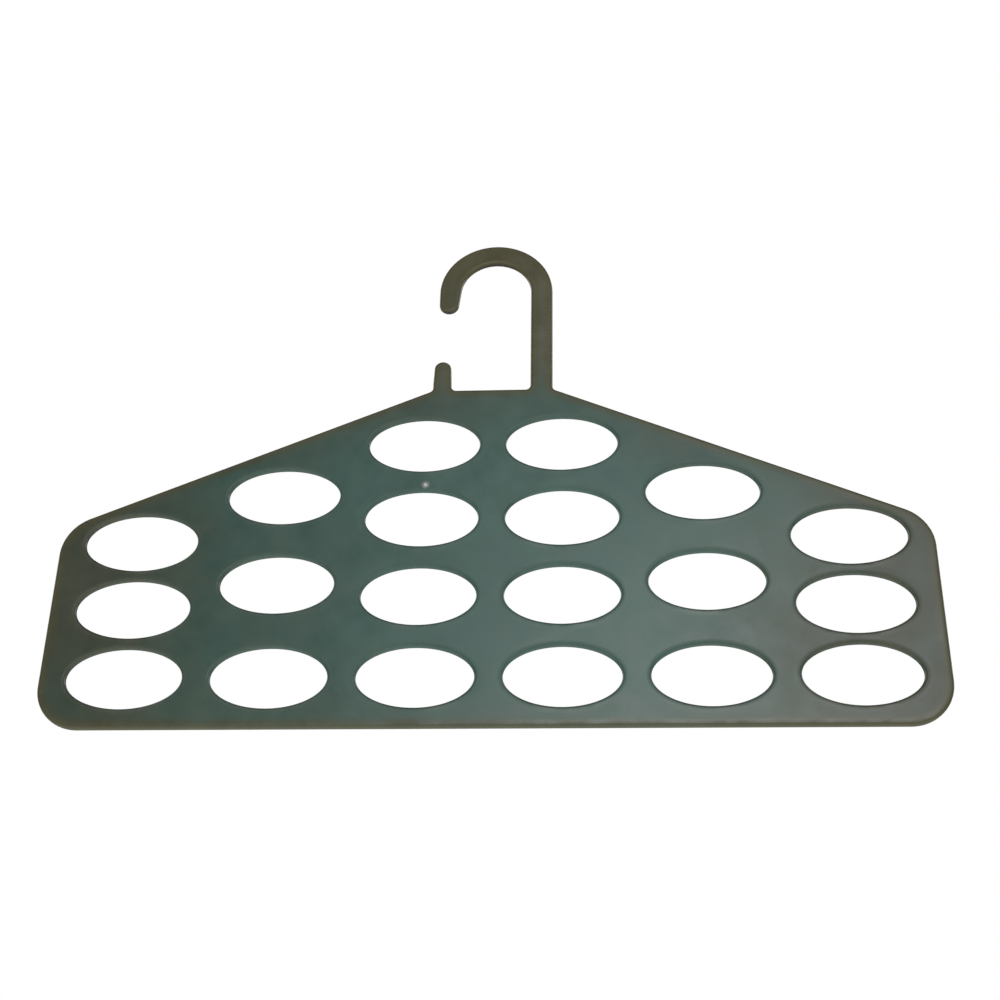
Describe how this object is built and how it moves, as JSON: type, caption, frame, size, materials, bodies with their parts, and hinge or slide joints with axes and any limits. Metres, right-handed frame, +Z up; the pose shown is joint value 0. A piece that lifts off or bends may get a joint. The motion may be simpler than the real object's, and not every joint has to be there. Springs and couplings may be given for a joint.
{
  "type": "scarf hanger",
  "caption": "Flat six-sided plastic scarf hanger pierced by rows of oval loops, with a flat open rod hook and a short keeper prong on its top edge.",
  "frame": {"origin": "centre of the hook's rod seat, halfway through the plate's thickness", "axes": "+Z up as the hanger hangs, +X along its width to the right, -Y towards the front face"},
  "size_m": [0.445, 0.0047, 0.2845],
  "materials": {
    "moulding": "satin slate green-grey moulded plastic"
  },
  "bodies": {
    "root": {"loop_plate": "moulding", "rod_hook": "moulding", "keeper_prong": "moulding"}
  },
  "joints": []
}
